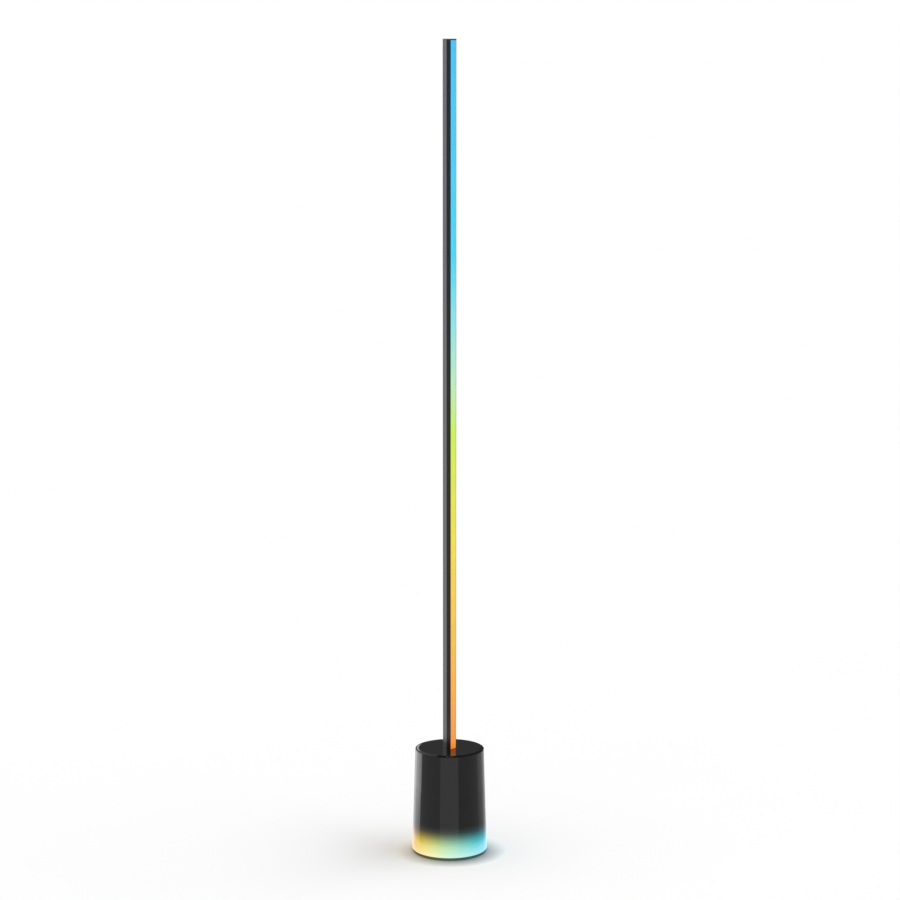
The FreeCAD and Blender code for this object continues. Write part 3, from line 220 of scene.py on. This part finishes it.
def bar_metal():
    """Dark anodised extrusion with die lines along it, and a faint painted glow in the bar's colours on
    its sides in front of the bend, standing in for the diffuser's light that falls on them.
    """
    look = Look("bar_metal", (0.049, 0.048, 0.053, 1), 0.29, metallic=1.0)
    lines = look.noise(0.0006, 3, (1, 1, 400))
    look.tint(look.noise(0.03, 3, (1, 1, 6)), (0.046, 0.045, 0.050, 1), (0.052, 0.051, 0.056, 1))
    look.vary("Roughness", lines, 0.26, 0.32)
    look.bump(lines, 0.000015, 0.35)
    look.bump(look.noise(0.00015, 1), 0.000004, 0.4)
    forward = (math.sin(BAR_TURN), -math.cos(BAR_TURN), 0)
    # painted light: the metal in front of the bend glows faintly in the bar's colours, in place of the
    # diffuser's light falling on it
    painted_spill = look.span(look.axis(forward), -BAR_BEND - BEND_BLUR, -BAR_BEND + BEND_BLUR)
    look.glow(height_colour(look), look.math("MULTIPLY", painted_spill, 0.012))
    return look


def bar_cap():
    return moulded("bar_cap", (0.022, 0.022, 0.024, 1), (0.030, 0.030, 0.033, 1), 0.45)


def bar_diffuser():
    """Milky cover, lit from behind in colours that change along the bar."""
    look = Look("bar_diffuser", grey(0.05), 0.42)
    colour = height_colour(look)
    look.set("Base Color", look.mix(1.0, colour, grey(0.10), "MULTIPLY"))
    look.bump(look.noise(0.0003, 2), 0.000008, 0.3)
    look.glow(colour, look.span(look.noise(0.012, 2), 0.3, 0.7, 0.93, 0.98))
    return look


def shell_glow(look, share):
    """The lit foot: its colour turns from yellow over green to blue, and it fades out upwards."""
    height = look.span(look.axis((0, 0, 1)), SHELL_FOOT, GLOW_TOP)
    colour = foot_colour(look)
    level = look.ramp(height, GLOW_LEVELS)
    white = look.ramp(height, GLOW_WHITES)
    look.glow(look.mix(white, colour, grey(1.0)), look.math("MULTIPLY", level, share))


def smoked_shell():
    """Smoked gloss plastic that the light ring shines through at the foot."""
    look = Look("smoked_shell", grey(0.005), 0.05, ior=1.45)
    look.tint(look.noise(0.03, 3), (0.0046, 0.0046, 0.0049, 1), (0.0060, 0.0060, 0.0063, 1))
    look.vary("Roughness", look.noise(0.01, 4), 0.035, 0.07)
    look.bump(look.noise(0.02, 1), 0.000010, 0.2)
    shell_glow(look, 0.98)
    return look


def gloss_lid():
    """Black gloss plastic, with the faint unevenness that polished mouldings have."""
    look = Look("gloss_lid", grey(0.005), 0.05)
    look.tint(look.noise(0.02, 3), (0.0044, 0.0043, 0.0046, 1), (0.0056, 0.0056, 0.0059, 1))
    look.vary("Roughness", look.noise(0.008, 4), 0.035, 0.075)
    look.bump(look.noise(0.015, 1), 0.000008, 0.2)
    return look


def frame_plastic():
    return moulded("frame_plastic", grey(0.020), grey(0.030), 0.55)


def opal_liner():
    look = moulded("opal_liner", grey(0.75), grey(0.82), 0.4)
    shell_glow(look, 1.0)
    return look


def painted_ring_spill(look):
    """Painted light: the light ring's colours glowing on the outer edge of what shows just under the
    shell, in place of the ring's light falling there.
    """
    radius = look.node("VectorMath", {0: look.scaled((1, 1, 0))}, operation="LENGTH").outputs["Value"]
    level = look.span(radius, SHELL_RADIUS - 0.004, SHELL_RADIUS - 0.0025, 0.0, 0.08)
    look.glow(foot_colour(look), level)


def tray_plastic():
    """Matt plastic with the spark-eroded grain of a moulded bottom cover."""
    look = moulded("tray_plastic", grey(0.026), grey(0.036), 0.6)
    look.bump(look.cells(0.0007), 0.00004, 0.5)
    # painted light: the cover's outer edge glows in the light ring's colours
    painted_ring_spill(look)
    return look


def foot_rubber():
    """Dark rubber, matt and a little dusty."""
    look = moulded("foot_rubber", grey(0.018), (0.028, 0.027, 0.026, 1), 0.75, grain=0.0003)
    look.set("Sheen Weight", 0.15)
    # painted light: the foot's outer edge glows in the light ring's colours
    painted_ring_spill(look)
    return look


def circuit_board():
    """Green solder mask over copper traces, with small plated pads."""
    look = Look("circuit_board", (0.01, 0.09, 0.03, 1), 0.35)
    traces = look.span(look.cells(0.003, "DISTANCE_TO_EDGE"), 0.06, 0.10)
    pads = look.span(look.cells(0.0045), 0.10, 0.13)
    mask = look.mix(traces, (0.016, 0.145, 0.05, 1), (0.008, 0.075, 0.027, 1))
    look.set("Base Color", look.mix(pads, (0.55, 0.52, 0.45, 1), mask))
    look.set("Metallic", look.math("SUBTRACT", 1.0, pads))
    look.bump(traces, 0.00003, 0.4)
    return look


def strip_board():
    """White flexible strip, with the tracks under its mask as faint relief along its length."""
    look = Look("strip_board", grey(0.8), 0.5)
    tracks = look.noise(0.0012, 2, (1, 1, 20))
    look.tint(tracks, (0.74, 0.74, 0.72, 1), (0.84, 0.84, 0.82, 1))
    look.bump(tracks, 0.00002, 0.4)
    return look


def led_chip():
    """Yellow phosphor under clear resin."""
    look = Look("led_chip", (0.85, 0.72, 0.20, 1), 0.2)
    look.tint(look.noise(0.0008, 3), (0.80, 0.66, 0.16, 1), (0.90, 0.80, 0.30, 1))
    look.glow(height_colour(look), 1.0)
    return look


def wire_sleeve():
    """Smooth wire sleeve with a faint wave from the strands inside."""
    look = Look("wire_sleeve", (0.35, 0.01, 0.01, 1), 0.38)
    look.tint(look.noise(0.004, 2), (0.30, 0.008, 0.008, 1), (0.42, 0.014, 0.012, 1))
    look.bump(look.noise(0.001, 1, (1, 1, 4)), 0.00002, 0.3)
    return look


def metal(name, low, high, roughness, grain, depth, stretch=(1, 1, 1)):
    """Bare or plated metal: grain of one size, and gloss that changes with it."""
    look = Look(name, low, roughness, metallic=1.0)
    relief = look.noise(grain, 4, stretch)
    look.tint(look.noise(grain * 12, 3), low, high)
    look.vary("Roughness", relief, roughness - 0.08, roughness + 0.08)
    look.bump(relief, depth, 0.5)
    return look


def steel():
    return metal("steel", (0.50, 0.50, 0.51, 1), (0.62, 0.61, 0.58, 1), 0.3, 0.0004, 0.00001)


def tenon_metal():
    return metal("tenon_metal", grey(0.58), grey(0.66), 0.35, 0.0005, 0.00001, (1, 1, 30))


def socket_metal():
    return metal("socket_metal", grey(0.36), grey(0.46), 0.5, 0.0008, 0.00005)


def contact_metal():
    return metal("contact_metal", (0.66, 0.63, 0.55, 1), (0.74, 0.71, 0.62, 1), 0.25, 0.0003, 0.000005)


def capacitor_can():
    return metal("capacitor_can", grey(0.60), grey(0.68), 0.3, 0.0003, 0.000005, (1, 1, 8))


def weight_iron():
    """Cast iron: a pitted dark skin, oiled."""
    look = metal("weight_iron", (0.05, 0.05, 0.053, 1), (0.09, 0.085, 0.08, 1), 0.55, 0.0015, 0.0002)
    look.bump(look.cells(0.004), 0.0001, 0.4)
    return look


def chip_plastic():
    return moulded("chip_plastic", grey(0.018), grey(0.026), 0.5, grain=0.0002)


def connector_plastic():
    return moulded("connector_plastic", (0.72, 0.70, 0.60, 1), (0.80, 0.78, 0.70, 1), 0.4)


def jack_plastic():
    return moulded("jack_plastic", grey(0.016), grey(0.024), 0.35)


def button_plastic():
    return moulded("button_plastic", grey(0.022), grey(0.030), 0.32, grain=0.0002)


LOOKS = {make.__name__: make() for make in (
    bar_metal, bar_cap, bar_diffuser, smoked_shell, gloss_lid, frame_plastic, opal_liner, tray_plastic,
    foot_rubber, circuit_board, strip_board, led_chip, wire_sleeve, steel, tenon_metal, socket_metal,
    contact_metal, capacitor_can, weight_iron, chip_plastic, connector_plastic, jack_plastic,
    button_plastic)}
for subpart in frame["record"]["subparts"]:
    piece = frame["nodes"][subpart["node"]]
    piece.material_slots[0].material = LOOKS[subpart["material_slot"]].material


# ---------------------------------------------------------------- studio

FLOOR_REACH = 150.0
PAINTED_SHADOW_REACH = 0.038       # how near the lamp the painted contact shadow darkens the floor's colour
PAINTED_SHADOW_DEPTH = 1.2         # how strongly the painted shadow darkens it
# the painted shadow is darkest on the side that this lean points away from
PAINTED_SHADOW_LEAN = {"X": -0.25, "Y": 0.60, "Z": 0.76}
SKY_LIGHT = 0.785           # the level that lights the scene
SKY_SEEN = 1.0              # the level that the camera and clear reflections see
NEAR_RADIUS = 0.12          # two rings of cards round the base, and the wall above the far one
NEAR_TOP = 0.10
NEAR_START = -180
FAR_RADIUS = 0.30
FAR_TOP = 0.15
FAR_START = -167
WALL_TOP = 1.7


def stage_mesh(name, corners, faces, material):
    """A mesh of the studio, which is no piece of the lamp."""
    mesh = bpy.data.meshes.new(name)
    mesh.from_pydata(corners, [], faces)
    mesh.materials.append(material)
    thing = bpy.data.objects.new(name, mesh)
    scene.collection.objects.link(thing)
    return thing


def make_floor():
    """A plain pale floor, white enough to run into the white behind it.

    It has a painted contact shadow: ambient occlusion darkens its colour where the lamp touches it, most
    on the side of the lamp that the lean points away from.
    """
    look = Look("floor", grey(0.98), 0.9)
    look.set("Specular IOR Level", 0.0)
    lean = look.node("CombineXYZ", PAINTED_SHADOW_LEAN).outputs[0]
    reach = {"Distance": PAINTED_SHADOW_REACH, "Normal": lean}
    # painted shadow: the share of the sky that the lamp leaves open near it, which darkens the floor's
    # colour
    clear = look.node("AmbientOcclusion", reach, samples=16).outputs["AO"]
    shade = look.mix(look.span(look.noise(0.4, 3), 0.3, 0.7), grey(0.978), grey(0.985))
    look.set("Base Color", look.mix(1.0, shade, look.math("POWER", clear, PAINTED_SHADOW_DEPTH), "MULTIPLY"))
    corners = [(x * FLOOR_REACH, y * FLOOR_REACH, 0) for x, y in ((-1, -1), (1, -1), (1, 1), (-1, 1))]
    stage_mesh("floor", corners, [(0, 1, 2, 3)], look.material)


def card(name, start, end, low, high, level_low, level_high, radius=FAR_RADIUS):
    """A curved card round the lamp that only shows in gloss: a softbox, or a flag where it is dark.

    Its angles run from the lamp's front, to the right as seen from the front.
    """
    material = bpy.data.materials.new(name)
    material.use_nodes = True
    nodes = material.node_tree.nodes
    nodes.clear()
    place = nodes.new("ShaderNodeTexCoord")
    height = nodes.new("ShaderNodeSeparateXYZ")
    spread = nodes.new("ShaderNodeMapRange")
    light = nodes.new("ShaderNodeEmission")
    output = nodes.new("ShaderNodeOutputMaterial")
    limits = {"From Min": low, "From Max": high, "To Min": level_low, "To Max": level_high}
    for socket, value in limits.items():
        spread.inputs[socket].default_value = value
    links = material.node_tree.links
    links.new(place.outputs["Object"], height.inputs[0])
    links.new(height.outputs["Z"], spread.inputs["Value"])
    links.new(spread.outputs[0], light.inputs["Strength"])
    links.new(light.outputs[0], output.inputs["Surface"])
    steps = max(2, round(abs(end - start) / 4))
    corners = []
    for i in range(steps + 1):
        angle = math.radians(start + (end - start) * i / steps)
        x = radius * math.sin(angle)
        y = -radius * math.cos(angle)
        corners += [(x, y, low), (x, y, high)]
    faces = [(2 * i, 2 * i + 2, 2 * i + 3, 2 * i + 1) for i in range(steps)]
    thing = stage_mesh(name, corners, faces, material)
    thing.visible_camera = False
    thing.visible_diffuse = False
    thing.visible_transmission = False
    thing.visible_shadow = False


def sun(name, azimuth, elevation, strength, spread):
    """A wide soft light from far away. Its azimuth runs from the lamp's front, to the right."""
    light = bpy.data.lights.new(name, "SUN")
    light.energy = strength
    light.angle = math.radians(spread)
    lamp = bpy.data.objects.new(name, light)
    scene.collection.objects.link(lamp)
    turn = math.radians(azimuth)
    rise = math.radians(elevation)
    towards = Vector((math.sin(turn) * math.cos(rise), -math.cos(turn) * math.cos(rise), math.sin(rise)))
    lamp.rotation_euler = towards.to_track_quat("Z", "Y").to_euler()
    lamp.visible_glossy = False


def make_world():
    """An even pale sky. The camera and clear reflections see plain white."""
    world = bpy.data.worlds.new("world")
    world.use_nodes = True
    nodes = world.node_tree.nodes
    links = world.node_tree.links
    path = nodes.new("ShaderNodeLightPath")
    seen = path.outputs["Is Camera Ray"]
    for ray in ("Is Glossy Ray", "Is Transmission Ray"):
        either = nodes.new("ShaderNodeMath")
        either.operation = "MAXIMUM"
        links.new(seen, either.inputs[0])
        links.new(path.outputs[ray], either.inputs[1])
        seen = either.outputs[0]
    strength = nodes.new("ShaderNodeMapRange")
    strength.inputs["To Min"].default_value = SKY_LIGHT
    strength.inputs["To Max"].default_value = SKY_SEEN
    links.new(seen, strength.inputs["Value"])
    background = nodes["Background"]
    background.inputs["Color"].default_value = grey(1.0)
    links.new(strength.outputs[0], background.inputs["Strength"])
    scene.world = world


make_world()
make_floor()
sun("right", azimuth=92, elevation=18, strength=2.0, spread=90)

# the rings of cards, each card from the end of the one before it, from left to right: its end in the near
# ring and in the far one, and its level at the floor, at the near ring's top and in the far ring
CARDS = (
    ("left_end", -125, -144, 1.0, 1.0, 1.0), ("left_edge", -101, -119, 1.5, 1.9, 2.1),
    ("left", -82, -96, 1.4, 2.5, 2.6), ("flag_left", -22.4, -27.3, 0.60, 0.60, 0.60),
    ("front", 21, 25.6, 0.97, 0.97, 0.97), ("flag_right", 80, 95, 0.48, 0.49, 0.50),
    ("right", 108, 126, 0.60, 0.68, 0.74), ("right_end", 180, 167, 0.9, 0.9, 0.92),
)
near_start = NEAR_START
far_start = FAR_START
for name, near_end, far_end, level_floor, level_near, level_far in CARDS:
    card(f"near_{name}", near_start, near_end, 0.0, NEAR_TOP, level_floor, level_near, NEAR_RADIUS)
    card(f"far_{name}", far_start, far_end, 0.0, FAR_TOP, level_far, level_far)
    near_start = near_end
    far_start = far_end

# the wall of cards above them, which the lid, its bevel and the bar show: start, end, low, high and level
WALL = (
    ("left_low", -167, -135, FAR_TOP, 0.33, 1.3), ("left_high", -167, -135, 0.33, 0.745, 0.65),
    ("left_top", -167, -135, 0.745, WALL_TOP, 0.05), ("softbox", -135, -96, FAR_TOP, WALL_TOP, 2.6),
    ("right", -96, 62, FAR_TOP, WALL_TOP, 0.08), ("side", 62, 122, FAR_TOP, WALL_TOP, 0.40),
    ("rear", 122, 167, FAR_TOP, WALL_TOP, 0.08), ("back", 167, 193, 0.0, WALL_TOP, 0.11),
)
for name, start, end, low, high, level in WALL:
    card(f"wall_{name}", start, end, low, high, level, level)
